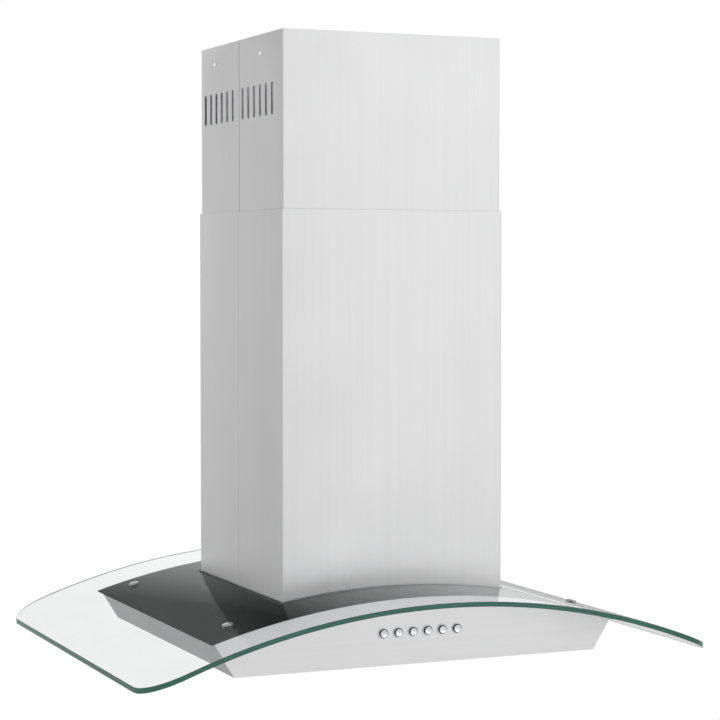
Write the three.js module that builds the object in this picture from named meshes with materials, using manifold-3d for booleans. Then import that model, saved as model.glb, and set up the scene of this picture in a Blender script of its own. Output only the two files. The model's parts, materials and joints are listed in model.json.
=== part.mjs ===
// Ceiling-hung island range hood: a telescoping square chimney over an arched glass canopy and a shallow
// steel housing with push buttons, lamps, baffle filters and a double-inlet blower.
// Millimetres, +Z up, +X to the user's right, the buttons face -Y. The origin is the centre of the ceiling
// bracket's top face. Most pieces are modelled in the hood's own frame, whose z = 0 is the glass's crown.
import * as THREE from "three";
import { mergeVertices } from "three/addons/utils/BufferGeometryUtils.js";
import Module from "manifold-3d";

const wasm = await Module();
wasm.setup();

// ---------------------------------------------------------------- driving dimensions
const SHEET = 1; // folded sheet steel
const FIT_GAP = 0.3; // between pieces that touch
const RUN_GAP = 0.5; // round a piece that slides or is dropped in
const BEND = 1.5; // outer radius of a folded corner
const PAST = 1; // how far a cutter runs past what it cuts

const GLASS_WIDTH = 760;
const GLASS_DEPTH = 625;
const GLASS_THICK = 6;
const GLASS_RADIUS = 938; // of the upper face's arch
const GLASS_CORNER = 50;
const GLASS_LIFT = 1.5; // silicone washers hold the glass this far off the deck
const CUTOUT_GAP = 3; // between the chimney and the glass round it
const CUTOUT_CORNER = 6;

const CHIMNEY_WIDTH = 304; // lower sleeve, outside
const CHIMNEY_DEPTH = 304;
const SLEEVE_GAP = 1.2; // between the two sleeves
const SLEEVE_HEIGHT = 475; // lower sleeve's top above the crown of the glass
const UPPER_SHOWN = 221; // upper sleeve above the lower one's rim
const UPPER_HIDDEN = 230; // upper sleeve inside the lower one
const TELESCOPE_UP = 190; // travel of the hood towards the ceiling, which keeps its rim under the screw holes
const SEAM_Y = 3;
const SEAM_GAP = 0.8;

const VENT_COUNT = 6; // upright vent slots on each side of each half
const VENT_WIDTH = 7;
const VENT_LENGTH = 41;
const VENT_PITCH = 21;
const VENT_TOP = 62.5; // below the ceiling
const VENT_FRONT_Y = -62; // middle of the front half's group
const VENT_REAR_Y = 79.5;
const SCREW_HOLE_RADIUS = 3;
const SCREW_HOLE_DROP = 24;
const SCREW_HOLES_Y = [-76, 94];

const BRACKET_THICK = 2;
const BRACKET_FLANGE = 40;
const BRACKET_OPENING = 90; // half width of the square way through for the duct
const BRACKET_OPENING_CORNER = 12;
const BRACKET_TAP_RADIUS = 2;
const CEILING_HOLE_RADIUS = 3.5;
const CEILING_HOLE_INSET = 32;

const RAIL_THICK = 2;
const RAIL_LEG = 26;
const RAIL_SLIDE_GAP = 0.5;
const RAIL_END_GAP = 8; // left under the bracket, and over the deck, when the hood is right up
const RAIL_SLOT_WIDTH = 7;
const RAIL_SLOT_LENGTH = 120;
const RAIL_SLOT_END = 25;

const DECK_WIDTH = 545;
const DECK_DEPTH = 470;
const DECK_OVERHANG = 4;
const BODY_HEIGHT = 86; // underside below the crown of the glass
const BODY_DEPTH = DECK_DEPTH - 2 * DECK_OVERHANG;
const SIDE_LEAN = 24; // how far each end of the housing leans out
const BODY_FLANGE = 12;

const BOLT_INSET_X = 35.5; // from the deck's edges
const BOLT_INSET_Y = 48.5;
const BOLT_HEAD_RADIUS = 7;
const BOLT_HEAD_HEIGHT = 3.2;
const BOLT_SHANK_RADIUS = 3;
const BOLT_TAIL = 12;
const BOLT_GLASS_HOLE = 5;
const SPACER_RADIUS = 6.5;

const BUTTON_COUNT = 6;
const BUTTON_PITCH = 20;
const BUTTON_Z = -46;
const BUTTON_RADIUS = 4.8;
const BUTTON_STAND = 3.5; // how far a button stands out of the panel
const BUTTON_TRAVEL = 2.5;
const BUTTON_STEM = 14;
const BEZEL_RADIUS = 6.7;
const BEZEL_STAND = 1;
const SWITCH_DEPTH = 24;
const SWITCH_HEIGHT = 26;

const STRIP_DEPTH = 84; // lamp strip between the filters and the front or rear wall
const FILTER_SIDE_MARGIN = 26;
const FILTER_DIVIDER = 12;
const FILTER_GAP = 1.5;
const FILTER_THICK = 12;
const FILTER_RAIL = 18; // end rails, which hold the latch
const FILTER_STILE = 8;
const FILTER_WALL = 1.2; // of the folded channels that make the frame
const BAFFLE_COUNT = 6;
const BAFFLE_THICK = 1;
const BAFFLE_SHARE = 0.74; // of the pitch that a channel covers
const BAFFLE_LIP = 4;
const LATCH_WIDTH = 44;
const LATCH_TAB = 7;
const LATCH_TAB_DROP = 6;
const LATCH_WALL = 3; // of the rail round the latch's pocket
const LATCH_TRAVEL = 4;
const LATCH_TIP = 0.8;

const LAMP_X = 150;
const LAMP_RADIUS = 32;
const LAMP_BODY_RADIUS = 27;
const LAMP_LENS_RADIUS = 23;
const LAMP_RIM = 1;
const LAMP_HEIGHT = 18;
const LENS_THICK = 2;

const TOWER_HEIGHT = 300; // blower chassis above the crown of the glass
const DECK_OPENING_INSET = 10;
const COLLAR_RADIUS = 75; // outside of the duct spigot
const COLLAR_HEIGHT = 55;
const COLLAR_FLANGE = 9;
const DAMPER_Z = 14; // pin above the chassis top
const DAMPER_PIN_RADIUS = 2;
const DAMPER_THICK = 0.8;
const DAMPER_GAP = 1.5;

const SCROLL_WIDTH = 112;
const SCROLL_AXIS_Z = 150;
const SCROLL_START = 66; // radius at the tongue
const SCROLL_END = 96; // radius at the outlet
const TONGUE_Y = 10; // inner wall of the outlet, behind the axis
const INLET_RADIUS = 45;
const IMPELLER_RADIUS = 56;
const IMPELLER_CLEAR = 5; // at each end, inside the scroll
const IMPELLER_DISC = 2; // thickness of the middle disc and of both end rings
const BLADE_COUNT = 28;
const BLADE_LENGTH = 12;
const BLADE_THICK = 1.2;
const BLADE_SET_IN = 0.7; // of a blade's edges inside the rings' rims
const HUB_RADIUS = 12;
const HUB_LENGTH = 16;
const SHAFT_RADIUS = 4;
const SHAFT_TAIL = 4; // past the hub
const MOTOR_RADIUS = 38;
const MOTOR_LENGTH = 62;
const MOTOR_GAP = 6; // between the motor and the impeller's hub
const MOTOR_BOSS_RADIUS = 15;
const MOTOR_BOSS = 8;
const MOUNT_BAR = 12;
const MOUNT_THICK = 2;

const WALL_MARGIN = 8; // between an electric part and the wall it sits by
const CAPACITOR_RADIUS = 16;
const CAPACITOR_HEIGHT = 52;
const CAPACITOR_Z = 40;
const JUNCTION_SIZE = { x: 76, y: 34, z: 30 };
const GLAND_RADIUS = 8;
const GLAND_NUT = 3; // wider than the hole
const GLAND_LENGTH = 8; // outside the box
const GLAND_HOLD = 4; // inside it
const CONTROL_SIZE = { x: 120, y: 40, z: 24 };

const ARCH_STEPS = 28;
const SCROLL_STEPS = 28;
const ROUND_STEPS = 24;

// ---------------------------------------------------------------- what follows from them
const TOP = SLEEVE_HEIGHT + UPPER_SHOWN; // ceiling above the crown of the glass
const GLASS_UNDER = GLASS_RADIUS - GLASS_THICK;
const DECK_TOP = GLASS_UNDER - GLASS_LIFT;
const DECK_UNDER = DECK_TOP - SHEET;
const SEAT = DECK_TOP + FIT_GAP; // arch that stands on the deck
const LOWER = { x: CHIMNEY_WIDTH / 2, y: CHIMNEY_DEPTH / 2 }; // half sizes, outside
const inset = (half, by) => ({ x: half.x - by, y: half.y - by });
const UPPER = inset(LOWER, SHEET + SLEEVE_GAP);
const BRACKET = inset(UPPER, SHEET + FIT_GAP);
const UPPER_RAIL = inset(BRACKET, SHEET + FIT_GAP);
const LOWER_RAIL = inset(UPPER_RAIL, RAIL_THICK + RAIL_SLIDE_GAP);
const TOWER = inset(LOWER_RAIL, RAIL_THICK + FIT_GAP);
const BODY_TOP = { x: DECK_WIDTH / 2 - DECK_OVERHANG, y: BODY_DEPTH / 2 };
const BODY_LOW = { x: BODY_TOP.x - SIDE_LEAN, y: BODY_DEPTH / 2 };
const PANEL_Z = -BODY_HEIGHT + SHEET + FIT_GAP; // underside of the bottom panel
const BOLT_X = DECK_WIDTH / 2 - BOLT_INSET_X;
const BOLT_Y = DECK_DEPTH / 2 - BOLT_INSET_Y;
const FILTER_LENGTH = BODY_DEPTH - 2 * STRIP_DEPTH - 2 * FILTER_GAP;
const FILTER_SPAN = 2 * (BODY_LOW.x - FILTER_SIDE_MARGIN) - FILTER_DIVIDER;
const FILTER_WIDTH = FILTER_SPAN / 2 - 2 * FILTER_GAP;
const FILTER_X = FILTER_SPAN / 4 + FILTER_DIVIDER / 2;
const LAMP_Y = BODY_DEPTH / 2 - (STRIP_DEPTH + BODY_FLANGE) / 2; // middle of the strip inside the flange
const SCROLL_AXIS_Y = -(SCROLL_END + TONGUE_Y) / 2; // which centres the outlet under the duct
const ARCH_SPREAD = Math.asin((GLASS_WIDTH / 2 + GLASS_CORNER) / GLASS_RADIUS);
const archZ = (x, radius) => Math.sqrt(radius * radius - x * x) - GLASS_RADIUS;

// ---------------------------------------------------------------- materials
const finish = (color, roughness, metalness) =>
  new THREE.MeshStandardMaterial({ color, roughness, metalness });
const BRUSHED = finish(0xc9cacb, 0.32, 1);
const DECK_STEEL = finish(0x3b3c3d, 0.45, 0.6);
const GALVANISED = finish(0xa9adb0, 0.5, 0.9);
const ZINC = finish(0xb9bcbf, 0.4, 0.9);
const CHROME = finish(0xd8dadc, 0.12, 1);
const ALUMINIUM = finish(0xb4b7ba, 0.4, 1);
const MOTOR_PAINT = finish(0x2a2c2f, 0.45, 0.2);
const BLACK_PLASTIC = finish(0x1d1e20, 0.5, 0);
const SILICONE = finish(0xd9dcdc, 0.6, 0);
const FROSTED = finish(0xf2f1ea, 0.5, 0);
const GLASS = finish(0xd6ebe4, 0.05, 0);

// ---------------------------------------------------------------- solids
function solidOf(geometry) {
  geometry.deleteAttribute("normal");
  geometry.deleteAttribute("uv");
  const merged = mergeVertices(geometry, 1e-4);
  const vertProperties = merged.attributes.position.array;
  const triVerts = new Uint32Array(merged.index.array);
  return new wasm.Manifold(new wasm.Mesh({ numProp: 3, vertProperties, triVerts }));
}

function meshOf(name, solid, material) {
  const made = solid.getMesh();
  const geometry = new THREE.BufferGeometry();
  geometry.setAttribute("position", new THREE.BufferAttribute(made.vertProperties, 3));
  geometry.setIndex(new THREE.BufferAttribute(made.triVerts, 1));
  geometry.computeVertexNormals();
  const mesh = new THREE.Mesh(geometry, material);
  mesh.name = name;
  return mesh;
}

const union = (solids) => solids.reduce((whole, next) => whole.add(next));
const without = (solid, cutters) => cutters.reduce((left, cutter) => left.subtract(cutter), solid);

function extrude(shape, depth, steps = 4) {
  return new THREE.ExtrudeGeometry(shape, { depth, bevelEnabled: false, curveSegments: steps });
}

// A shape drawn in x, y and raised from z0 to z1.
function prismZ(shape, z0, z1, steps) {
  return solidOf(extrude(shape, z1 - z0, steps).translate(0, 0, z0));
}

// A shape drawn in x, z and run from y0 to y1.
function prismY(shape, y0, y1, steps) {
  return solidOf(extrude(shape, y1 - y0, steps).rotateX(Math.PI / 2).translate(0, y1, 0));
}

// A shape drawn in y, z and run from x0 to x1.
function prismX(shape, x0, x1, steps) {
  const turn = new THREE.Matrix4().set(0, 0, 1, 0, 1, 0, 0, 0, 0, 1, 0, 0, 0, 0, 0, 1);
  return solidOf(extrude(shape, x1 - x0, steps).applyMatrix4(turn).translate(x0, 0, 0));
}

function box(x0, x1, y0, y1, z0, z1) {
  const geometry = new THREE.BoxGeometry(x1 - x0, y1 - y0, z1 - z0);
  return solidOf(geometry.translate((x0 + x1) / 2, (y0 + y1) / 2, (z0 + z1) / 2));
}

// An upright cylinder from z0 to z1.
function rod(radius, z0, z1, sides = ROUND_STEPS) {
  const geometry = new THREE.CylinderGeometry(radius, radius, z1 - z0, sides).rotateX(Math.PI / 2);
  return solidOf(geometry.translate(0, 0, (z0 + z1) / 2));
}

const rodX = (radius, x0, x1, sides) => rod(radius, x0, x1, sides).rotate([0, 90, 0]);
const rodY = (radius, y0, y1, sides) => rod(radius, y0, y1, sides).rotate([-90, 0, 0]);

// A closed profile of [radius, z] pairs turned round the z axis.
function turned(profile, sides = ROUND_STEPS) {
  const points = [...profile, profile[0]].map(([r, z]) => new THREE.Vector2(r, z));
  const made = solidOf(new THREE.LatheGeometry(points, sides).rotateX(Math.PI / 2));
  if (made.volume() > 0) return made;
  return solidOf(new THREE.LatheGeometry(points.reverse(), sides).rotateX(Math.PI / 2));
}

function roundedRect(halfX, halfY, radius) {
  const shape = new THREE.Shape();
  shape.moveTo(halfX, -halfY + radius);
  shape.absarc(halfX - radius, halfY - radius, radius, 0, Math.PI / 2);
  shape.absarc(-halfX + radius, halfY - radius, radius, Math.PI / 2, Math.PI);
  shape.absarc(-halfX + radius, -halfY + radius, radius, Math.PI, 1.5 * Math.PI);
  shape.absarc(halfX - radius, -halfY + radius, radius, 1.5 * Math.PI, 2 * Math.PI);
  return shape;
}

// A square tube of folded sheet.
function sleeve(half, z0, z1) {
  const outer = prismZ(roundedRect(half.x, half.y, BEND), z0, z1, 3);
  const inner = roundedRect(half.x - SHEET, half.y - SHEET, BEND - SHEET);
  return outer.subtract(prismZ(inner, z0 - PAST, z1 + PAST, 2));
}

// Everything under an arch of this radius about the glass's axis. All arches share one set of facet angles.
function underArch(radius) {
  const low = -GLASS_RADIUS / 2;
  const shape = new THREE.Shape();
  shape.moveTo(-radius * Math.sin(ARCH_SPREAD), low);
  shape.absarc(0, -GLASS_RADIUS, radius, Math.PI / 2 + ARCH_SPREAD, Math.PI / 2 - ARCH_SPREAD, true);
  shape.lineTo(radius * Math.sin(ARCH_SPREAD), low);
  return prismY(shape, -GLASS_DEPTH, GLASS_DEPTH, ARCH_STEPS / 2);
}

// A curved sheet between two arches, cut to a plan outline.
function archedSheet(innerRadius, outerRadius, plan, steps = 8) {
  const shell = underArch(outerRadius).subtract(underArch(innerRadius));
  return shell.intersect(prismZ(plan, -GLASS_RADIUS / 2 + PAST, GLASS_THICK, steps));
}

// Places a solid on the arch over (x, y), standing along the arch's normal, z = 0 on the given radius.
function onArch(solid, radius, x, y) {
  const tilt = THREE.MathUtils.radToDeg(Math.asin(x / GLASS_RADIUS));
  const z = archZ(radius * Math.sin(THREE.MathUtils.degToRad(tilt)), radius);
  return solid.rotate([0, tilt, 0]).translate([(x * radius) / GLASS_RADIUS, y, z]);
}

const CORNERS = [
  [1, 1],
  [-1, 1],
  [-1, -1],
  [1, -1],
];
const boltPlaces = CORNERS.map(([sx, sy]) => [sx * BOLT_X, sy * BOLT_Y]);

// ---------------------------------------------------------------- ceiling side
function upperChimney() {
  let tube = sleeve(UPPER, SLEEVE_HEIGHT - UPPER_HIDDEN, TOP - FIT_GAP);
  const slot = roundedRect(VENT_WIDTH / 2, VENT_LENGTH / 2, VENT_WIDTH / 2 - 0.01);
  const reach = UPPER.x + PAST;
  const cutters = [];
  for (const middle of [VENT_FRONT_Y, VENT_REAR_Y]) {
    for (let i = 0; i < VENT_COUNT; i++) {
      const y = middle + (i - (VENT_COUNT - 1) / 2) * VENT_PITCH;
      cutters.push(prismX(slot, -reach, reach, 2).translate([0, y, TOP - VENT_TOP - VENT_LENGTH / 2]));
    }
  }
  for (const y of SCREW_HOLES_Y) {
    cutters.push(rodX(SCREW_HOLE_RADIUS, -reach, reach, 12).translate([0, y, TOP - SCREW_HOLE_DROP]));
  }
  tube = tube.subtract(union(cutters));
  return splitAtSeam(tube, "upper_chimney");
}

function splitAtSeam(tube, name) {
  const far = CHIMNEY_DEPTH;
  const low = -GLASS_RADIUS;
  const rearSide = box(-far * 2, far * 2, SEAM_Y - SEAM_GAP / 2, far * 2, low, TOP * 2);
  const frontSide = box(-far * 2, far * 2, -far * 2, SEAM_Y + SEAM_GAP / 2, low, TOP * 2);
  return [
    meshOf(name + "_front", tube.subtract(rearSide), BRUSHED),
    meshOf(name + "_rear", tube.subtract(frontSide), BRUSHED),
  ];
}

function ceilingBracket() {
  const low = TOP - BRACKET_FLANGE;
  const plate = prismZ(roundedRect(BRACKET.x, BRACKET.y, BEND), TOP - BRACKET_THICK, TOP, 3);
  const flange = sleeve(BRACKET, low, TOP - BRACKET_THICK / 2);
  const opening = roundedRect(BRACKET_OPENING, BRACKET_OPENING, BRACKET_OPENING_CORNER);
  const cutters = [prismZ(opening, low, TOP + PAST, 3)];
  for (const [sx, sy] of CORNERS) {
    const x = sx * (BRACKET.x - CEILING_HOLE_INSET - RAIL_LEG / 2);
    const y = sy * (BRACKET.y - CEILING_HOLE_INSET - RAIL_LEG / 2);
    cutters.push(rod(CEILING_HOLE_RADIUS, low, TOP + PAST, 12).translate([x, y, 0]));
  }
  for (const y of SCREW_HOLES_Y) {
    const tap = rodX(BRACKET_TAP_RADIUS, -BRACKET.x - PAST, BRACKET.x + PAST, 8);
    cutters.push(tap.translate([0, y, TOP - SCREW_HOLE_DROP]));
  }
  return meshOf("ceiling_bracket", without(plate.add(flange), cutters), ZINC);
}

// An angle rail with its outer corner on the z axis and its legs along -x and -y.
function angleRail(z0, z1, slotZ0) {
  const shape = new THREE.Shape();
  shape.moveTo(0, 0);
  shape.lineTo(-RAIL_LEG, 0);
  shape.lineTo(-RAIL_LEG, -RAIL_THICK);
  shape.lineTo(-RAIL_THICK, -RAIL_THICK);
  shape.lineTo(-RAIL_THICK, -RAIL_LEG);
  shape.lineTo(0, -RAIL_LEG);
  const middle = -(RAIL_LEG + RAIL_THICK) / 2;
  const half = RAIL_SLOT_WIDTH / 2;
  const slotZ1 = slotZ0 + RAIL_SLOT_LENGTH;
  return without(prismZ(shape, z0, z1), [
    box(middle - half, middle + half, -RAIL_THICK - PAST, PAST, slotZ0, slotZ1),
    box(-RAIL_THICK - PAST, PAST, middle - half, middle + half, slotZ0, slotZ1),
  ]);
}

function rails(name, half, z0, z1, slotZ0) {
  return CORNERS.map(([sx, sy], i) => {
    const mesh = meshOf(`${name}_${i + 1}`, angleRail(z0, z1, slotZ0), GALVANISED);
    mesh.rotation.z = (i * Math.PI) / 2;
    mesh.position.set(sx * half.x, sy * half.y, 0);
    return mesh;
  });
}

function upperRails() {
  const bottom = archZ(UPPER_RAIL.x, DECK_TOP) + RAIL_END_GAP + TELESCOPE_UP + GLASS_THICK + GLASS_LIFT;
  return rails("upper_rail", UPPER_RAIL, bottom, TOP - BRACKET_THICK - FIT_GAP, bottom + RAIL_SLOT_END);
}

// ---------------------------------------------------------------- chimney side of the hood
function lowerRails() {
  const top = TOP - TELESCOPE_UP - BRACKET_THICK - RAIL_END_GAP;
  return rails("lower_rail", LOWER_RAIL, 0, top, top - RAIL_SLOT_END - RAIL_SLOT_LENGTH);
}

function lowerChimney() {
  const tube = sleeve(LOWER, archZ(LOWER.x, DECK_UNDER) - PAST, SLEEVE_HEIGHT);
  return splitAtSeam(tube.subtract(underArch(SEAT)), "lower_chimney");
}

function blowerChassis() {
  const low = archZ(LOWER.x, DECK_UNDER) - PAST;
  const seat = underArch(SEAT);
  const walls = sleeve(TOWER, low, TOWER_HEIGHT).subtract(seat);
  const top = prismZ(roundedRect(TOWER.x, TOWER.y, BEND), TOWER_HEIGHT - SHEET, TOWER_HEIGHT, 3);
  const foot = roundedRect(LOWER.x - SHEET - RUN_GAP, LOWER.y - SHEET - RUN_GAP, BEND);
  foot.holes.push(roundedRect(TOWER.x - SHEET, TOWER.y - SHEET, BEND - SHEET));
  const flange = archedSheet(SEAT, SEAT + SHEET, foot, 3);
  const cornerNotches = CORNERS.map(([sx, sy]) => {
    const x = [sx * (TOWER.x - RAIL_LEG - PAST), sx * LOWER.x].sort((a, b) => a - b);
    const y = [sy * (TOWER.y + FIT_GAP / 2), sy * LOWER.y].sort((a, b) => a - b);
    return box(...x, ...y, low, RAIL_END_GAP);
  });
  const sideNotches = CORNERS.map(([sx, sy]) => {
    const x = [sx * (TOWER.x + FIT_GAP / 2), sx * LOWER.x].sort((a, b) => a - b);
    const y = [sy * (TOWER.y - RAIL_LEG - PAST), sy * LOWER.y].sort((a, b) => a - b);
    return box(...x, ...y, low, RAIL_END_GAP);
  });
  const outlet = rod(COLLAR_RADIUS - SHEET, TOWER_HEIGHT - SHEET - PAST, TOWER_HEIGHT + PAST);
  const flanged = walls.add(without(flange, [...cornerNotches, ...sideNotches]));
  return meshOf("blower_chassis", flanged.add(top).subtract(outlet), GALVANISED);
}

// The spigot, its pin and the two flaps, in a frame whose origin is the outlet's centre on the chassis top.
function ductCollar() {
  const low = FIT_GAP;
  const inner = COLLAR_RADIUS - SHEET;
  const wall = [
    [inner, low],
    [COLLAR_RADIUS + COLLAR_FLANGE, low],
    [COLLAR_RADIUS + COLLAR_FLANGE, low + SHEET],
    [COLLAR_RADIUS, low + SHEET],
    [COLLAR_RADIUS, COLLAR_HEIGHT],
    [inner, COLLAR_HEIGHT],
  ];
  const pinHole = rodX(DAMPER_PIN_RADIUS + FIT_GAP, -COLLAR_RADIUS * 2, COLLAR_RADIUS * 2, 12);
  const collar = turned(wall, 36).subtract(pinHole.translate([0, 0, DAMPER_Z]));
  const pinHalf = COLLAR_RADIUS + DAMPER_PIN_RADIUS;
  const pin = rodX(DAMPER_PIN_RADIUS, -pinHalf, pinHalf, 12);
  const flaps = [-1, 1].map((side) => {
    const radius = inner - DAMPER_GAP;
    const edge = DAMPER_PIN_RADIUS + FIT_GAP + DAMPER_THICK / 2;
    const start = Math.asin(edge / radius);
    const shape = new THREE.Shape();
    shape.absarc(0, 0, radius, start, Math.PI - start);
    const half = prismZ(shape, -DAMPER_THICK / 2, DAMPER_THICK / 2, 12);
    return side > 0 ? half : half.rotate([0, 0, 180]);
  });
  const group = new THREE.Group();
  group.position.z = TOWER_HEIGHT;
  group.add(meshOf("duct_collar", collar, GALVANISED));
  const hung = [
    meshOf("damper_pin", pin, ZINC),
    meshOf("damper_flap_front", flaps[0], ALUMINIUM),
    meshOf("damper_flap_rear", flaps[1], ALUMINIUM),
  ];
  for (const mesh of hung) mesh.position.z = DAMPER_Z;
  group.add(...hung);
  return group;
}

// ---------------------------------------------------------------- blower, in a frame on the impeller's axis
function scrollOutline(offset) {
  const shape = new THREE.Shape();
  const rise = TOWER_HEIGHT - SHEET - FIT_GAP - SCROLL_AXIS_Z;
  const start = Math.acos(TONGUE_Y / SCROLL_START);
  shape.moveTo(TONGUE_Y + offset, rise);
  shape.lineTo(TONGUE_Y + offset, (SCROLL_START - offset) * Math.sin(start));
  for (let i = 0; i <= SCROLL_STEPS; i++) {
    const share = i / SCROLL_STEPS;
    const angle = start + share * (2 * Math.PI - start);
    const radius = SCROLL_START + (SCROLL_END - SCROLL_START) * share - offset;
    if (i > 0 || offset > 0) shape.lineTo(radius * Math.cos(angle), radius * Math.sin(angle));
  }
  shape.lineTo(SCROLL_END - offset, rise);
  return shape;
}

function blower() {
  const half = SCROLL_WIDTH / 2;
  const bore = (x0, x1) => rodX(INLET_RADIUS, x0, x1);
  const inner = prismX(scrollOutline(SHEET), -half + SHEET, half + PAST).add(
    box(-half + SHEET, half + PAST, TONGUE_Y + SHEET, SCROLL_END - SHEET, 0, TOWER_HEIGHT),
  );
  const scroll = without(prismX(scrollOutline(0), -half, half), [inner, bore(-half - PAST, 0)]);
  const coverX = half + FIT_GAP;
  const cover = prismX(scrollOutline(0), coverX, coverX + SHEET).subtract(bore(half, coverX + SHEET + PAST));

  const wheelHalf = half - SHEET - IMPELLER_CLEAR;
  const bladeInner = IMPELLER_RADIUS - BLADE_LENGTH;
  const bladeFrom = bladeInner + BLADE_SET_IN;
  const bladeTo = IMPELLER_RADIUS - BLADE_SET_IN;
  const disc = (radius, x0, x1) => rodX(radius, x0, x1, 36);
  const ring = (x0, x1) => disc(IMPELLER_RADIUS, x0, x1).subtract(disc(bladeInner, x0 - PAST, x1 + PAST));
  const blade = box(-wheelHalf, wheelHalf, -BLADE_THICK / 2, BLADE_THICK / 2, bladeFrom, bladeTo);
  const hubHalf = HUB_LENGTH / 2;
  const motorStart = MOTOR_GAP + hubHalf;
  const motorEnd = motorStart + MOTOR_LENGTH;
  const pieces = [
    ring(-wheelHalf, -wheelHalf + IMPELLER_DISC),
    ring(wheelHalf - IMPELLER_DISC, wheelHalf),
    disc((bladeFrom + bladeTo) / 2, -IMPELLER_DISC / 2, IMPELLER_DISC / 2),
    rodX(HUB_RADIUS, -hubHalf, hubHalf, 16),
    rodX(SHAFT_RADIUS, -hubHalf - SHAFT_TAIL, motorStart - FIT_GAP, 12),
  ];
  for (let i = 0; i < BLADE_COUNT; i++) pieces.push(blade.rotate([(i * 360) / BLADE_COUNT, 0, 0]));
  const impeller = union(pieces);

  const motor = rodX(MOTOR_RADIUS, motorStart, motorEnd, 24)
    .add(rodX(MOTOR_BOSS_RADIUS, motorEnd - PAST, motorEnd + MOTOR_BOSS, 16));
  const barX0 = motorEnd + MOTOR_BOSS + FIT_GAP;
  const barX1 = barX0 + MOUNT_THICK;
  const legX0 = coverX + SHEET + FIT_GAP;
  const reach = INLET_RADIUS + MOUNT_BAR;
  const bar = box(barX0, barX1, -reach, reach, -MOUNT_BAR / 2, MOUNT_BAR / 2);
  const leg = box(legX0, barX1, reach - MOUNT_THICK, reach, -MOUNT_BAR / 2, MOUNT_BAR / 2);
  const legs = [0, 90, 180, 270].map((turn) => leg.rotate([turn, 0, 0]));
  const mount = union([bar, bar.rotate([90, 0, 0]), ...legs]);

  const group = new THREE.Group();
  group.position.set(0, SCROLL_AXIS_Y, SCROLL_AXIS_Z);
  group.add(
    meshOf("scroll_housing", scroll, GALVANISED),
    meshOf("scroll_cover", cover, GALVANISED),
    meshOf("impeller", impeller, ALUMINIUM),
    meshOf("motor", motor, MOTOR_PAINT),
    meshOf("motor_mount", mount, ZINC),
  );
  return group;
}

function electrics() {
  const capacitor = meshOf("motor_capacitor", rod(CAPACITOR_RADIUS, 0, CAPACITOR_HEIGHT, 20), BLACK_PLASTIC);
  const fromWall = SHEET + WALL_MARGIN + CAPACITOR_RADIUS;
  capacitor.position.set(-TOWER.x + fromWall, TOWER.y - fromWall, CAPACITOR_Z);

  const size = JUNCTION_SIZE;
  const face = -size.y / 2;
  const hole = rodY(GLAND_RADIUS, face - PAST, face + GLAND_HOLD + PAST, 16).translate([0, 0, size.z / 2]);
  const shell = box(-size.x / 2, size.x / 2, face, -face, 0, size.z).subtract(hole);
  const nut = rodY(GLAND_RADIUS + GLAND_NUT, face - GLAND_LENGTH, face - FIT_GAP, 16);
  const wireWay = rodY(GLAND_RADIUS / 2, face - GLAND_LENGTH - PAST, face, 12);
  const barrel = rodY(GLAND_RADIUS - FIT_GAP, face - GLAND_LENGTH, face + GLAND_HOLD, 16);
  const gland = meshOf("cable_gland", barrel.add(nut).subtract(wireWay), BLACK_PLASTIC);
  gland.position.z = size.z / 2;
  const onTop = new THREE.Group();
  onTop.position.set(-TOWER.x / 2, -TOWER.y + 2 * WALL_MARGIN + size.y / 2, TOWER_HEIGHT + FIT_GAP);
  onTop.add(meshOf("junction_box", shell, ZINC), gland);

  const half = CONTROL_SIZE.x / 2;
  const control = box(-half, half, -CONTROL_SIZE.y, 0, 0, CONTROL_SIZE.z);
  const controlBox = meshOf("control_box", control, BLACK_PLASTIC);
  const wall = BODY_DEPTH / 2 - SHEET - RUN_GAP - WALL_MARGIN;
  controlBox.position.set(0, wall, PANEL_Z + SHEET + FIT_GAP);
  return [capacitor, onTop, controlBox];
}

// ---------------------------------------------------------------- canopy
function glassCanopy() {
  const plan = roundedRect(GLASS_WIDTH / 2, GLASS_DEPTH / 2, GLASS_CORNER);
  plan.holes.push(roundedRect(LOWER.x + CUTOUT_GAP, LOWER.y + CUTOUT_GAP, CUTOUT_CORNER));
  const hole = rod(BOLT_GLASS_HOLE, -GLASS_THICK * 2, GLASS_THICK, 16);
  const holes = boltPlaces.map(([x, y]) => onArch(hole, GLASS_RADIUS, x, y));
  return meshOf("glass_canopy", without(archedSheet(GLASS_UNDER, GLASS_RADIUS, plan), holes), GLASS);
}

// Cap screws and their silicone washers, each standing along the arch's normal.
function glassFixings() {
  const head = BOLT_HEAD_HEIGHT;
  const screw = turned([
    [0, -BOLT_TAIL],
    [BOLT_SHANK_RADIUS, -BOLT_TAIL],
    [BOLT_SHANK_RADIUS, FIT_GAP],
    [BOLT_HEAD_RADIUS, FIT_GAP],
    [BOLT_HEAD_RADIUS, head * 0.45],
    [BOLT_HEAD_RADIUS * 0.85, head * 0.75],
    [BOLT_HEAD_RADIUS * 0.55, head * 0.95],
    [0, head],
  ], 16);
  const washerLow = -GLASS_THICK - GLASS_LIFT + FIT_GAP;
  const washerHigh = -GLASS_THICK - FIT_GAP;
  const washer = turned([
    [BOLT_SHANK_RADIUS + FIT_GAP, washerLow],
    [SPACER_RADIUS, washerLow],
    [SPACER_RADIUS, washerHigh],
    [BOLT_SHANK_RADIUS + FIT_GAP, washerHigh],
  ], 12);
  return boltPlaces.flatMap(([x, y], i) => {
    const group = new THREE.Group();
    group.position.set(x, y, archZ(x, GLASS_RADIUS));
    group.rotation.y = Math.asin(x / GLASS_RADIUS);
    group.add(meshOf(`glass_screw_${i + 1}`, screw, CHROME));
    group.add(meshOf(`glass_washer_${i + 1}`, washer, SILICONE));
    return group;
  });
}

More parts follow.
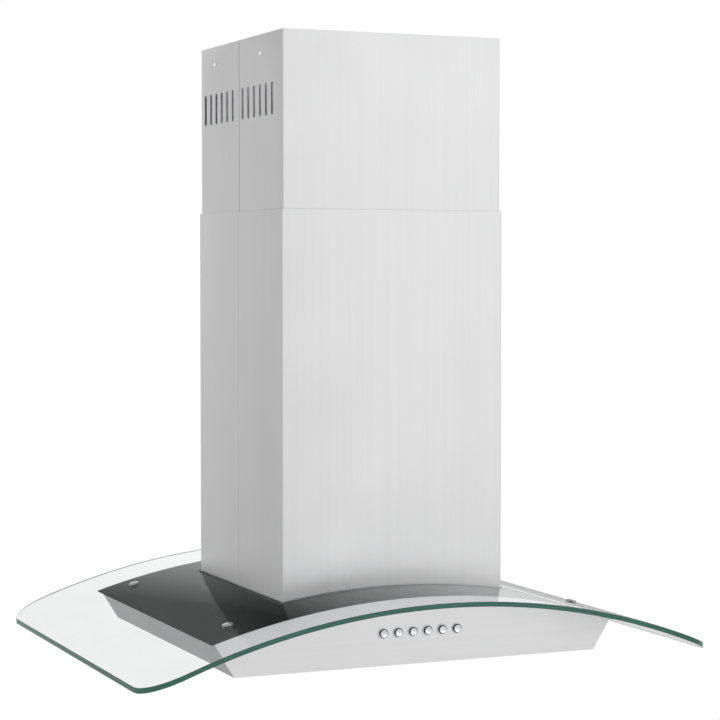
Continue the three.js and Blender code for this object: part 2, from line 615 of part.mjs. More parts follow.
function topDeck() {
  const plan = roundedRect(DECK_WIDTH / 2, DECK_DEPTH / 2, BEND);
  plan.holes.push(roundedRect(TOWER.x - DECK_OPENING_INSET, TOWER.y - DECK_OPENING_INSET, CUTOUT_CORNER));
  const sheet = archedSheet(DECK_UNDER, DECK_TOP, plan, 3);
  const hole = rod(BOLT_SHANK_RADIUS + RUN_GAP, -BOLT_TAIL * 2, 0, 12);
  const holes = boltPlaces.map(([x, y]) => onArch(hole, GLASS_RADIUS, x, y));
  return meshOf("top_deck", without(sheet, holes), DECK_STEEL);
}

// The housing's end view, this far inside its outer faces: a flat bottom and ends that lean out.
function housingPrism(wall, y, z0) {
  const rise = archZ(BODY_TOP.x, DECK_UNDER) + BODY_HEIGHT;
  const lean = Math.hypot(SIDE_LEAN, rise) / rise;
  const halfAt = (z) => BODY_LOW.x + ((z + BODY_HEIGHT) * SIDE_LEAN) / rise - wall * lean;
  const z1 = GLASS_THICK;
  const shape = new THREE.Shape();
  shape.moveTo(-halfAt(z0), z0);
  shape.lineTo(halfAt(z0), z0);
  shape.lineTo(halfAt(z1), z1);
  shape.lineTo(-halfAt(z1), z1);
  return prismY(shape, -y, y, 1);
}

function bodyShell() {
  const y = BODY_DEPTH / 2;
  const outer = housingPrism(0, y, -BODY_HEIGHT).intersect(underArch(DECK_UNDER - FIT_GAP));
  const inner = housingPrism(SHEET, y - SHEET, -BODY_HEIGHT + SHEET);
  const hole = rodY(BEZEL_RADIUS + FIT_GAP, -y - PAST, -y + SHEET + PAST, 16);
  const mouth = inset(BODY_LOW, BODY_FLANGE);
  const under = -BODY_HEIGHT;
  const opening = prismZ(roundedRect(mouth.x, mouth.y, BEND), under - PAST, under + SHEET + PAST, 2);
  const holes = buttonPlaces.map((x) => hole.translate([x, 0, BUTTON_Z]));
  return meshOf("body_shell", without(outer, [inner, opening, ...holes]), BRUSHED);
}

const buttonMiddle = (BUTTON_COUNT - 1) / 2;
const buttonPlaces = Array.from({ length: BUTTON_COUNT }, (_, i) => (i - buttonMiddle) * BUTTON_PITCH);

// The switch bank stands behind the front wall and its guides come out through it; y = 0 is the wall's face.
function switches() {
  const back = SHEET + RUN_GAP;
  const halfWidth = (BUTTON_COUNT * BUTTON_PITCH) / 2;
  const block = box(-halfWidth, halfWidth, back, back + SWITCH_DEPTH, -SWITCH_HEIGHT / 2, SWITCH_HEIGHT / 2);
  const guide = rodY(BEZEL_RADIUS, -BEZEL_STAND, back + PAST, 16);
  const bore = rodY(BUTTON_RADIUS + FIT_GAP, -BEZEL_STAND - PAST, BUTTON_STEM + BUTTON_TRAVEL + PAST, 16);
  const shifted = (solid) => buttonPlaces.map((x) => solid.translate([x, 0, 0]));
  const bank = without(union([block, ...shifted(guide)]), shifted(bore));
  const button = rodY(BUTTON_RADIUS, -BUTTON_STAND, BUTTON_STEM, 16);
  const group = new THREE.Group();
  group.position.set(0, -BODY_DEPTH / 2, BUTTON_Z);
  group.add(meshOf("switch_bank", bank, BLACK_PLASTIC));
  buttonPlaces.forEach((x, i) => {
    const mesh = meshOf(`push_button_${i + 1}`, button, CHROME);
    mesh.position.x = x;
    group.add(mesh);
  });
  return group;
}

function bottomPanel() {
  const gap = SHEET + 2 * RUN_GAP;
  const plan = roundedRect(BODY_LOW.x - gap, BODY_LOW.y - gap, BEND);
  const half = { x: FILTER_WIDTH / 2 + FILTER_GAP, y: FILTER_LENGTH / 2 + FILTER_GAP };
  const low = PANEL_Z - PAST;
  const high = PANEL_Z + SHEET + PAST;
  const cutters = [-1, 1].map((side) =>
    prismZ(roundedRect(half.x, half.y, BEND), low, high, 2).translate([side * FILTER_X, 0, 0]),
  );
  const lampHole = rod(LAMP_BODY_RADIUS + RUN_GAP, low, high);
  for (const [sx, sy] of CORNERS) cutters.push(lampHole.translate([sx * LAMP_X, sy * LAMP_Y, 0]));
  return meshOf("bottom_panel", without(prismZ(plan, PANEL_Z, PANEL_Z + SHEET, 2), cutters), BRUSHED);
}

// A lamp's cup hangs in the panel by its rim and holds a frosted lens; z = 0 is the panel's underside.
function lamps() {
  const floor = LENS_THICK + 2 * FIT_GAP;
  const cup = turned([
    [LAMP_LENS_RADIUS + FIT_GAP, -FIT_GAP - LAMP_RIM],
    [LAMP_RADIUS, -FIT_GAP - LAMP_RIM],
    [LAMP_RADIUS, -FIT_GAP],
    [LAMP_BODY_RADIUS, -FIT_GAP],
    [LAMP_BODY_RADIUS, LAMP_HEIGHT],
    [0, LAMP_HEIGHT],
    [0, floor],
    [LAMP_LENS_RADIUS + FIT_GAP, floor],
  ]);
  const lens = rod(LAMP_LENS_RADIUS, FIT_GAP, FIT_GAP + LENS_THICK);
  return CORNERS.map(([sx, sy], i) => {
    const group = new THREE.Group();
    group.position.set(sx * LAMP_X, sy * LAMP_Y, PANEL_Z);
    group.add(meshOf(`lamp_cup_${i + 1}`, cup, CHROME), meshOf(`lamp_lens_${i + 1}`, lens, FROSTED));
    return group;
  });
}

// A baffle filter: a frame with a deep front rail, and two rows of channels that face each other.
function filterSolid() {
  const x = FILTER_WIDTH / 2;
  const y = FILTER_LENGTH / 2;
  const over = FILTER_THICK + PAST;
  const grooveX = x - FILTER_STILE + FILTER_WALL;
  const grooveY = y - FILTER_RAIL + FILTER_WALL;
  const frame = without(box(-x, x, -y, y, 0, FILTER_THICK), [
    box(-x + FILTER_STILE, x - FILTER_STILE, -y + FILTER_RAIL, y - FILTER_RAIL, -PAST, over),
    box(-x + FILTER_WALL, -grooveX, -grooveY, y - FILTER_WALL, FILTER_WALL, over),
    box(grooveX, x - FILTER_WALL, -grooveY, y - FILTER_WALL, FILTER_WALL, over),
    box(-grooveX - PAST, grooveX + PAST, grooveY, y - FILTER_WALL, FILTER_WALL, over),
  ]);
  const span = 2 * (x - FILTER_STILE);
  const pitch = span / BAFFLE_COUNT;
  const wide = pitch * BAFFLE_SHARE;
  const channel = (middle, z0, lip) => {
    const run = y - FILTER_RAIL + PAST;
    const web = box(middle - wide / 2, middle + wide / 2, -run, run, z0, z0 + BAFFLE_THICK);
    const lips = [-1, 1].map((side) => {
      const edge = middle + side * (wide / 2 - BAFFLE_THICK / 2);
      const z = [z0, z0 + lip].sort((a, b) => a - b);
      return box(edge - BAFFLE_THICK / 2, edge + BAFFLE_THICK / 2, -run, run, z[0], z[1]);
    });
    return union([web, ...lips]);
  };
  const rows = [];
  for (let i = 0; i < BAFFLE_COUNT; i++) {
    rows.push(channel(-span / 2 + (i + 0.5) * pitch, BAFFLE_THICK, BAFFLE_LIP));
    if (i > 0) rows.push(channel(-span / 2 + i * pitch, FILTER_THICK - 2 * BAFFLE_THICK, -BAFFLE_LIP));
  }
  const pocket = LATCH_WIDTH / 2 + RUN_GAP;
  const tab = LATCH_TAB + RUN_GAP;
  const back = -y + FILTER_RAIL - LATCH_WALL;
  return without(union([frame, ...rows]), [
    box(-pocket, pocket, -y - PAST, back, LATCH_WALL, FILTER_THICK - LATCH_WALL),
    box(-tab, tab, -y + LATCH_WALL, back, -PAST, LATCH_WALL + PAST),
  ]);
}

// The latch slides in the front rail's pocket, and its finger tab comes out below.
function latchSolid() {
  const front = -FILTER_LENGTH / 2;
  const wall = LATCH_WALL + RUN_GAP;
  const back = front + FILTER_RAIL - wall - LATCH_TRAVEL;
  const half = LATCH_WIDTH / 2;
  const bolt = box(-half, half, front - LATCH_TIP, back, wall, FILTER_THICK - wall);
  return bolt.add(box(-LATCH_TAB, LATCH_TAB, front + wall, back, -LATCH_TAB_DROP, wall + PAST / 2));
}

function filters() {
  return [-1, 1].map((side) => {
    const name = side < 0 ? "left" : "right";
    const group = new THREE.Group();
    group.position.set(side * FILTER_X, 0, PANEL_Z);
    group.add(
      meshOf(`baffle_filter_${name}`, filterSolid(), BRUSHED),
      meshOf(`filter_latch_${name}`, latchSolid(), BLACK_PLASTIC),
    );
    return group;
  });
}

// ---------------------------------------------------------------- assembly
const hood = new THREE.Group();
hood.add(...upperChimney(), ceilingBracket(), ...upperRails());
hood.add(...lowerRails(), ...lowerChimney(), blowerChassis(), ductCollar(), blower(), ...electrics());
hood.add(glassCanopy(), ...glassFixings(), topDeck(), bodyShell(), switches());
hood.add(bottomPanel(), ...lamps(), ...filters());
hood.position.z = -TOP;

const rangeHood = new THREE.Group();
rangeHood.add(hood);

export default rangeHood;
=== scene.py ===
"""Looks of a ceiling-hung island range hood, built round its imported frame.

Everything is in metres in the frame's own axes: +Z up to the ceiling, the buttons face -Y, and the origin is the
centre of the ceiling bracket. Sizes written in millimetres go through mm().
"""
import json
import math

import bmesh
import bpy
from bpy.props import FloatProperty, FloatVectorProperty, IntProperty, PointerProperty, StringProperty
from mathutils import Matrix, Vector


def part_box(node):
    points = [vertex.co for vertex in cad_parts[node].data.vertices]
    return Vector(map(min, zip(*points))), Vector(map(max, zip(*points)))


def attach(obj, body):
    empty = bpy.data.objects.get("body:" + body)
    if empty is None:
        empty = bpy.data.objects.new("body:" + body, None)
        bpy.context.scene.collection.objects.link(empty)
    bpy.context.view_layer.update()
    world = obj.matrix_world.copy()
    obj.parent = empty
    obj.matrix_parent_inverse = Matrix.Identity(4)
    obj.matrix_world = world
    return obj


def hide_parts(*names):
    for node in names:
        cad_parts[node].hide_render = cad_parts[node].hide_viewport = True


bl_info = {
    "name": "Island Range Hood",
    "version": (1, 0, 0),
    "blender": (4, 5, 0),
    "location": "View3D > Sidebar > Range Hood",
    "description": "Builds the glass, steel and small fittings of an island range hood round its frame",
    "category": "Object",
}

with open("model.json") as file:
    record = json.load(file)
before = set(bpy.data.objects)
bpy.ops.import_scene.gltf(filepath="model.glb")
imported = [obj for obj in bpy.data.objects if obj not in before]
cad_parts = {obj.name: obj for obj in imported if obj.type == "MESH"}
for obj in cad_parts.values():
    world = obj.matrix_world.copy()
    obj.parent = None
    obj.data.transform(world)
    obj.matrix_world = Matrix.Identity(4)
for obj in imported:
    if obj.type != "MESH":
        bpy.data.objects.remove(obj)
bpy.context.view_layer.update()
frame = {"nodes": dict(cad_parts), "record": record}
CORNERS = (1, 2, 3, 4)
BUTTONS = (1, 2, 3, 4, 5, 6)
SIDES = ("left", "right")


def mm(value):
    """Millimetres as metres."""
    return value / 1000


def span(node):
    """Centre and size of a frame node."""
    low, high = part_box(node)
    return (low + high) / 2, high - low


CROWN_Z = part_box("glass_canopy")[1].z
GLASS_SIZE = span("glass_canopy")[1]
CHIMNEY_SIZE = span("lower_chimney_front")[1]
CHASSIS_SIZE = span("blower_chassis")[1]

# Clearances and small fixed sizes
WELD = mm(0.002)            # corners of a frame node that are closer than this are one corner
CHIMNEY_GAP = mm(3)         # between the chimney and the hole that the glass has for it
OPENING_CORNER = mm(6)      # corner radius of the holes in the glass and in the deck
DECK_GAP = mm(1.5)          # between the deck and the glass, filled by the washers
DECK_LEDGE = mm(19)         # how far the deck reaches in over the blower chassis
CUT_REACH = (-0.2, 0.1)     # heights from the crown that a hole's cutter spans
GLASS_FACE_OVER = 0.55      # cosine to the arch's radius: a facet of the canopy under it belongs to the edge
SLEEVE_SCREWS = ((-0.076, "front"), (0.094, "rear"))    # place along the side, and the sleeve half it goes through
SLEEVE_SCREW_DROP = mm(24)  # from the ceiling to the sleeve screws
SHARP_OVER = math.radians(28)           # an edge between faces that turn more than this stays sharp
SHARP_OVER_SOFTENED = math.radians(14)  # the same, on a piece whose edges have been rounded


# ---------------------------------------------------------------- settings a user would change
class HoodSizes(bpy.types.PropertyGroup):
    arch_radius: FloatProperty(name="Arch radius", description="Upper face of the canopy", default=0.938,
                               unit="LENGTH")
    glass_thickness: FloatProperty(name="Glass thickness", description="Of the canopy", default=0.006,
                                   unit="LENGTH")
    glass_corner: FloatProperty(name="Glass corner", description="Plan radius of the canopy's corners",
                                default=0.05, unit="LENGTH")
    glass_arris: FloatProperty(name="Glass arris", description="Ground bevel along the canopy's edges",
                               default=0.0009, unit="LENGTH")
    sheet: FloatProperty(name="Sheet", description="Thickness of the folded steel", default=0.001, unit="LENGTH")
    fold: FloatProperty(name="Fold", description="Outer radius of a folded corner", default=0.0015, unit="LENGTH")
    ring_radius: FloatProperty(name="Button ring", description="Outer radius of the ring round a button",
                               default=0.0067, unit="LENGTH")
    arc_steps: IntProperty(name="Arc steps", description="Facets across the whole arch", default=96, min=24)


class HoodColours(bpy.types.PropertyGroup):
    steel: StringProperty(name="Stainless steel", description="Brushed sheet, as sRGB hex", default="d2d2d3")
    # the deck's near-black is partly its own dark paint and partly painted shade, for the deck's shadowed look
    # under the glass
    enamel: StringProperty(name="Deck enamel", description="Stoved enamel under the glass", default="17181a")
    glass_face: StringProperty(name="Glass face", description="Faint body tint of the canopy", default="f6f7f7")
    glass_edge: StringProperty(name="Glass edge", description="Green of the polished edge", default="2f5c4f")
    chrome: StringProperty(name="Chrome", description="Buttons, rings and caps", default="e4e5e7")
    zinc: StringProperty(name="Zinc", description="Plated brackets and galvanised sheet", default="b4b7ba")
    lens: StringProperty(name="Lens", description="Opal lamp lenses", default="f4f2ea")


class StageSettings(bpy.types.PropertyGroup):
    camera_from_crown: FloatVectorProperty(
        name="Camera", description="Camera place, from the crown of the glass", size=3,
        default=(-1.1259, -2.6290, 0.4007), subtype="TRANSLATION", unit="LENGTH")
    camera_yaw: FloatProperty(name="Yaw", description="Turn of the camera to its right", subtype="ANGLE",
                              default=math.radians(23.54))
    camera_pitch: FloatProperty(name="Pitch", description="Downward tilt", subtype="ANGLE",
                                default=math.radians(2.42))
    lens: FloatProperty(name="Lens", description="Focal length in mm on a 36 mm sensor", default=107.9,
                        unit="CAMERA")
    room_height: FloatProperty(name="Room height", description="Ceiling above the floor", default=2.44,
                               unit="LENGTH")


# ---------------------------------------------------------------- small helpers
def sizes():
    """The sizes that a user may change."""
    return bpy.context.scene.hood_sizes


def linear(hex_colour):
    """An sRGB hex colour as the linear RGBA that shaders take."""
    channels = [int(hex_colour[i:i + 2], 16) / 255 for i in (0, 2, 4)]
    return [c / 12.92 if c <= 0.04045 else ((c + 0.055) / 1.055) ** 2.4 for c in channels] + [1.0]


def shade(colour, factor):
    """The same colour, lighter or darker."""
    return [min(1.0, c * factor) for c in colour[:3]] + [1.0]


def arch_z(x, radius):
    """Height over x of an arch of this radius about the canopy's axis."""
    return CROWN_Z + math.sqrt(radius * radius - x * x) - sizes().arch_radius


def obj_from(name, bm):
    """A named object from a bmesh, facing out, smooth except over sharp edges."""
    bmesh.ops.recalc_face_normals(bm, faces=bm.faces)
    mesh = bpy.data.meshes.new(name)
    bm.to_mesh(mesh)
    bm.free()
    mesh.shade_smooth()
    mesh.set_sharp_from_angle(angle=SHARP_OVER)
    obj = bpy.data.objects.new(name, mesh)
    bpy.context.scene.collection.objects.link(obj)
    return obj


def prism(outline, low, high, axis="Z"):
    """A bmesh prism of an outline of pairs, along Z (x, y pairs) or along Y (x, z pairs)."""
    bm = bmesh.new()
    place = (lambda u, v, w: (u, v, w)) if axis == "Z" else (lambda u, v, w: (u, w, v))
    base = [bm.verts.new(place(u, v, low)) for u, v in outline]
    top = [bm.verts.new(place(u, v, high)) for u, v in outline]
    bm.faces.new(base)
    bm.faces.new(top[::-1])
    count = len(outline)
    for i in range(count):
        j = (i + 1) % count
        bm.faces.new((base[j], base[i], top[i], top[j]))
    return bm


def rounded_rect(half_x, half_y, radius, steps):
    """A rectangle about the origin with rounded corners, each in this many steps."""
    points = []
    for quarter, (sx, sy) in enumerate(((1, 1), (-1, 1), (-1, -1), (1, -1))):
        for i in range(steps + 1):
            angle = (quarter + i / steps) * math.pi / 2
            points.append((sx * (half_x - radius) + radius * math.cos(angle),
                           sy * (half_y - radius) + radius * math.sin(angle)))
    return points


def circle(radius, steps):
    """Points on a circle about the origin."""
    return [(radius * math.cos(a), radius * math.sin(a)) for a in (i * math.tau / steps for i in range(steps))]


def dome(radius, base, rise, step):
    """The profile of a dome on a rim: points every so many degrees, ending on the axis."""
    angles = [math.radians(degrees) for degrees in range(step, 90, step)]
    return [(radius * math.cos(a), base + rise * math.sin(a)) for a in angles] + [(0, base + rise)]


def lathe(name, profile, sides):
    """A closed solid of revolution about Z from (radius, height) pairs that start and end on the axis or meet."""
    bm = bmesh.new()
    rings = []
    for radius, height in profile:
        if radius < 1e-7:
            rings.append([bm.verts.new((0, 0, height))])
        else:
            rings.append([bm.verts.new((x, y, height)) for x, y in circle(radius, sides)])
    closed = len(rings[0]) > 1
    pairs = list(zip(rings, rings[1:])) + ([(rings[-1], rings[0])] if closed else [])
    for lower, upper in pairs:
        if len(lower) + len(upper) == 2:
            continue
        for i in range(sides):
            j = (i + 1) % sides
            if len(lower) == 1:
                bm.faces.new((lower[0], upper[j], upper[i]))
            elif len(upper) == 1:
                bm.faces.new((lower[i], lower[j], upper[0]))
            else:
                bm.faces.new((lower[i], lower[j], upper[j], upper[i]))
    return obj_from(name, bm)


def apply_modifier(obj, kind, **settings):
    """Adds a modifier and replaces the mesh with its result, so that none is left on the piece."""
    modifier = obj.modifiers.new(kind.title(), kind)
    for key, value in settings.items():
        setattr(modifier, key, value)
    evaluated = obj.evaluated_get(bpy.context.evaluated_depsgraph_get())
    mesh = bpy.data.meshes.new_from_object(evaluated)
    obj.modifiers.clear()
    old, obj.data = obj.data, mesh
    bpy.data.meshes.remove(old)
    mesh.name = obj.name
    return obj


def cut(obj, bm, operation="DIFFERENCE"):
    """Booleans obj with a bmesh solid."""
    cutter = obj_from("cutter", bm)
    apply_modifier(obj, "BOOLEAN", object=cutter, operation=operation, solver="EXACT")
    bpy.data.objects.remove(cutter)
    return obj


def soften(obj, width, segments=2, angle=math.radians(40)):
    """Rounds the sharp edges of a finished solid."""
    apply_modifier(obj, "BEVEL", width=width, segments=segments, limit_method="ANGLE", angle_limit=angle,
                   miter_outer="MITER_ARC", use_clamp_overlap=True)
    obj.data.shade_smooth()
    obj.data.set_sharp_from_angle(angle=SHARP_OVER_SOFTENED)
    return obj


def arched_sheet(name, outline, inner, outer, steps):
    """A curved sheet between two arches about the canopy's axis, cut to a plan outline."""
    reach = GLASS_SIZE.x / 2 + sizes().glass_corner
    spread = math.asin(reach / sizes().arch_radius)
    angles = [spread * (2 * i / steps - 1) for i in range(steps + 1)]
    axis_z = CROWN_Z - sizes().arch_radius
    section = [(outer * math.sin(a), axis_z + outer * math.cos(a)) for a in angles]
    section += [(inner * math.sin(a), axis_z + inner * math.cos(a)) for a in reversed(angles)]
    sheet = obj_from(name, prism(section, -GLASS_SIZE.y, GLASS_SIZE.y, "Y"))
    return cut(sheet, prism(outline, CROWN_Z - reach, CROWN_Z + reach), "INTERSECT")


def cut_chimney_hole(sheet, half):
    """Cuts the square hole with rounded corners that the chimney or the blower stands in."""
    low, high = CUT_REACH
    return cut(sheet, prism(rounded_rect(half, half, OPENING_CORNER, 6), CROWN_Z + low, CROWN_Z + high))


def twin(node, merge_flats):
    """A new object with a copy of a frame node's mesh, welded, to be refined and stand for it."""
    bm = bmesh.new()
    bm.from_mesh(frame["nodes"][node].data)
    bmesh.ops.remove_doubles(bm, verts=bm.verts, dist=WELD)
    if merge_flats:
        bmesh.ops.dissolve_limit(bm, angle_limit=math.radians(1), verts=bm.verts, edges=bm.edges)
    return obj_from(node + "_finished", bm)


def body_of(node):
    """The body that a frame node rides on."""
    return next(body for body, nodes in frame["record"]["behaviour"]["bodies"].items() if node in nodes)


def refine(node, finish_material, edge_mm, segments=2, merge_flats=True):
    """Replaces a frame node with a welded copy whose sharp edges are rounded as folding or moulding leaves them."""
    obj = twin(node, merge_flats)
    soften(obj, mm(edge_mm), segments)
    dress(obj, body_of(node), finish_material)
    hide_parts(node)
    return obj


def dress(obj, body, material):
    """Gives a new piece its material and its body."""
    obj.data.materials.clear()
    obj.data.materials.append(material)
    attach(obj, body)
    return obj


def paint(nodes, material):
    """Gives frame nodes a better material."""
    for node in nodes:
        mesh = frame["nodes"][node].data
        mesh.materials.clear()
        mesh.materials.append(material)


# ---------------------------------------------------------------- materials
def add(tree, kind, settings=None, links=None):
    """Adds a shader node, sets properties or sockets by name, and links sockets to other nodes' outputs."""
    node = tree.nodes.new(kind)
    for key, value in (settings or {}).items():
        if isinstance(key, int) or key in node.inputs:
            node.inputs[key].default_value = value
        else:
            setattr(node, key, value)
    for key, source in (links or {}).items():
        tree.links.new(source, node.inputs[key])
    return node


def new_material(name):
    """An empty node material and its tree."""
    material = bpy.data.materials.new(name)
    material.use_nodes = True
    material.node_tree.nodes.clear()
    return material, material.node_tree


def finish(tree, settings, links, bumps=None):
    """The Principled shader of a material and its output. bumps is a pattern and its real depth in millimetres."""
    if bumps:
        pattern, depth_mm = bumps
        relief = add(tree, "ShaderNodeBump", {"Strength": 1.0, "Distance": mm(depth_mm)}, {"Height": pattern})
        links = {**links, "Normal": relief.outputs["Normal"]}
    shader = add(tree, "ShaderNodeBsdfPrincipled", settings, links)
    add(tree, "ShaderNodeOutputMaterial", None, {"Surface": shader.outputs["BSDF"]})


def grain(tree, size_mm, detail=2.0, roughness=0.5):
    """A cloudy pattern whose cells have this real size along x, y and z."""
    coords = add(tree, "ShaderNodeTexCoord")
    scale = [1 / mm(size) for size in size_mm]
    mapped = add(tree, "ShaderNodeMapping", {"Scale": scale}, {"Vector": coords.outputs["Object"]})
    noise = add(tree, "ShaderNodeTexNoise", {"Scale": 1.0, "Detail": detail, "Roughness": roughness},
                {"Vector": mapped.outputs["Vector"]})
    return noise.outputs["Fac"]


def vary(tree, pattern, low, high):
    """Runs from low to high, which are two numbers or two colours, over the middle of a pattern."""
    numbers = isinstance(low, float)
    share = add(tree, "ShaderNodeMapRange",
                {"From Min": 0.3, "From Max": 0.7, "To Min": low if numbers else 0.0,
                 "To Max": high if numbers else 1.0}, {"Value": pattern}).outputs["Result"]
    if numbers:
        return share
    return add(tree, "ShaderNodeMix", {"data_type": "RGBA", 6: low, 7: high}, {"Factor": share}).outputs[2]


def brushed_stainless(name, line_mm, tangent_axis=None):
    """Stainless sheet brushed with an abrasive belt: long fine lines that stretch a highlight across them.

    Belt lines are about 0.1 mm apart. They are drawn 1 mm apart, with bands 5 mm wide over them, so they show.
    """
    material, tree = new_material(name)
    steel = linear(bpy.context.scene.hood_colours.steel)
    fine = grain(tree, line_mm, 3.0, 0.6)
    bands = grain(tree, [size * 5 for size in line_mm])
    handling = grain(tree, (140, 140, 140))
    streaked = add(tree, "ShaderNodeMix", {"data_type": "RGBA", "blend_type": "MULTIPLY", "Factor": 1.0},
                   {6: vary(tree, bands, shade(steel, 0.985), shade(steel, 1.015)),
                    7: vary(tree, fine, [0.985, 0.985, 0.985, 1.0], [1.0, 1.0, 1.0, 1.0])})
    rough = add(tree, "ShaderNodeMath", {"operation": "ADD"},
                {0: vary(tree, fine, 0.27, 0.29), 1: vary(tree, handling, 0.0, 0.05)})
    settings = {"Metallic": 1.0}
    links = {"Base Color": streaked.outputs[2], "Roughness": rough.outputs["Value"]}
    if tangent_axis:
        tangent = add(tree, "ShaderNodeTangent", {"direction_type": "RADIAL", "axis": tangent_axis})
        settings.update({"Anisotropic": 0.7, "Anisotropic Rotation": 0.25})
        links["Tangent"] = tangent.outputs["Tangent"]
    finish(tree, settings, links, (fine, 0.0006))
    return material


def stoved_enamel(name, colour, roughness, gloss):
    """Sprayed and baked enamel: dark, even, with the faint orange peel of a spray coat, about 3 mm a bump."""
    material, tree = new_material(name)
    peel = grain(tree, (3, 3, 3), 1.0)
    cloud = grain(tree, (60, 60, 60))
    finish(tree, {"IOR": 1.5, "Specular IOR Level": gloss},
           {"Base Color": vary(tree, cloud, shade(colour, 0.85), shade(colour, 1.15)),
            "Roughness": vary(tree, cloud, roughness - 0.05, roughness + 0.05)}, (peel, 0.002))
    return material


def galvanised_sheet(name):
    """Hot-dipped zinc on steel: flat crystals, about 9 mm across, each with its own shade."""
    material, tree = new_material(name)
    zinc = linear(bpy.context.scene.hood_colours.zinc)
    coords = add(tree, "ShaderNodeTexCoord")
    crystals = add(tree, "ShaderNodeTexVoronoi", {"Scale": 1 / mm(9), "Randomness": 1.0},
                   {"Vector": coords.outputs["Object"]})
    tone = add(tree, "ShaderNodeSeparateColor", None, {"Color": crystals.outputs["Color"]}).outputs["Red"]
    dull = grain(tree, (40, 40, 40), 3.0)
    finish(tree, {"Metallic": 0.9},
           {"Base Color": vary(tree, tone, shade(zinc, 0.85), shade(zinc, 1.08)),
            "Roughness": vary(tree, tone, 0.38, 0.52)}, (dull, 0.05))
    return material


def plated(name, colour, low, high, cell_mm=6):
    """Bright plate over pressed or turned metal: a mirror with faint polishing clouds."""
    material, tree = new_material(name)
    cloud = grain(tree, (cell_mm, cell_mm, cell_mm), 3.0)
    finish(tree, {"Metallic": 1.0},
           {"Base Color": vary(tree, cloud, shade(colour, 0.95), shade(colour, 1.0)),
            "Roughness": vary(tree, cloud, low, high)}, (cloud, 0.01))
    return material


def moulded_plastic(name, colour, roughness, ior=1.53):
    """Injection-moulded plastic with a spark-eroded surface, about 0.4 mm a grain: satin, with no clear mirror."""
    material, tree = new_material(name)
    spark = grain(tree, (0.4, 0.4, 0.4))
    finish(tree, {"IOR": ior},
           {"Base Color": vary(tree, spark, shade(colour, 0.9), shade(colour, 1.1)),
            "Roughness": vary(tree, spark, roughness - 0.06, roughness + 0.06)}, (spark, 0.02))
    return material


def float_glass_face():
    """Clear soda-lime float glass: bends what lies under it, and mirrors more at low angles.

    Its mirror share is held under the full one, as on glass that dark cards face in a studio.
    """
    material, tree = new_material("float_glass_face")
    tint = linear(bpy.context.scene.hood_colours.glass_face)
    wipe = grain(tree, (25, 160, 25), 3.0)
    bend = add(tree, "ShaderNodeBsdfRefraction", {"IOR": 1.52, "Roughness": 0.0},
               {"Color": vary(tree, wipe, shade(tint, 0.985), shade(tint, 1.0))})
    mirror = add(tree, "ShaderNodeBsdfAnisotropic", {"Color": [1, 1, 1, 1], "Roughness": 0.03})
    angle = add(tree, "ShaderNodeFresnel", {"IOR": 1.52})
    share = add(tree, "ShaderNodeMapRange", {"From Min": 0.3, "From Max": 0.6, "To Min": 0.03, "To Max": 0.4},
                {"Value": angle.outputs["Fac"]})
    both = add(tree, "ShaderNodeMixShader", None,
               {"Fac": share.outputs["Result"], 1: bend.outputs["BSDF"], 2: mirror.outputs["BSDF"]})
    add(tree, "ShaderNodeOutputMaterial", None, {"Surface": both.outputs["Shader"]})
    return material


def float_glass_edge():
    """Ground and polished edge of the same glass, green because light runs a long way inside it.

    Seen from within the glass the far edge is painted pale: a painted highlight for the daylight that comes in
    through it.
    """
    material, tree = new_material("float_glass_edge")
    green = linear(bpy.context.scene.hood_colours.glass_edge)
    depth = grain(tree, (60, 60, 2.5))
    side = add(tree, "ShaderNodeNewGeometry")
    # faces seen from inside the glass get a pale colour: painted highlight for the light through the far edge
    colour = add(tree, "ShaderNodeMix", {"data_type": "RGBA", 7: linear("dfe8e5")},
                 {"Factor": side.outputs["Backfacing"],
                  6: vary(tree, depth, shade(green, 0.8), shade(green, 1.25))})
    finish(tree, {"IOR": 1.52, "Specular IOR Level": 0.3},
           {"Base Color": colour.outputs[2], "Roughness": vary(tree, depth, 0.12, 0.25)})
    return material


def opal_lens():
    """Sand-blasted lamp lens with its light source behind: pale, matt and evenly milky."""
    material, tree = new_material("opal_lens")
    milky = linear(bpy.context.scene.hood_colours.lens)
    blast = grain(tree, (0.5, 0.5, 0.5))
    finish(tree, {"IOR": 1.49, "Subsurface Weight": 0.2},
           {"Base Color": vary(tree, blast, shade(milky, 0.94), milky),
            "Roughness": vary(tree, blast, 0.4, 0.55)}, (blast, 0.02))
    return material


made_materials = {}


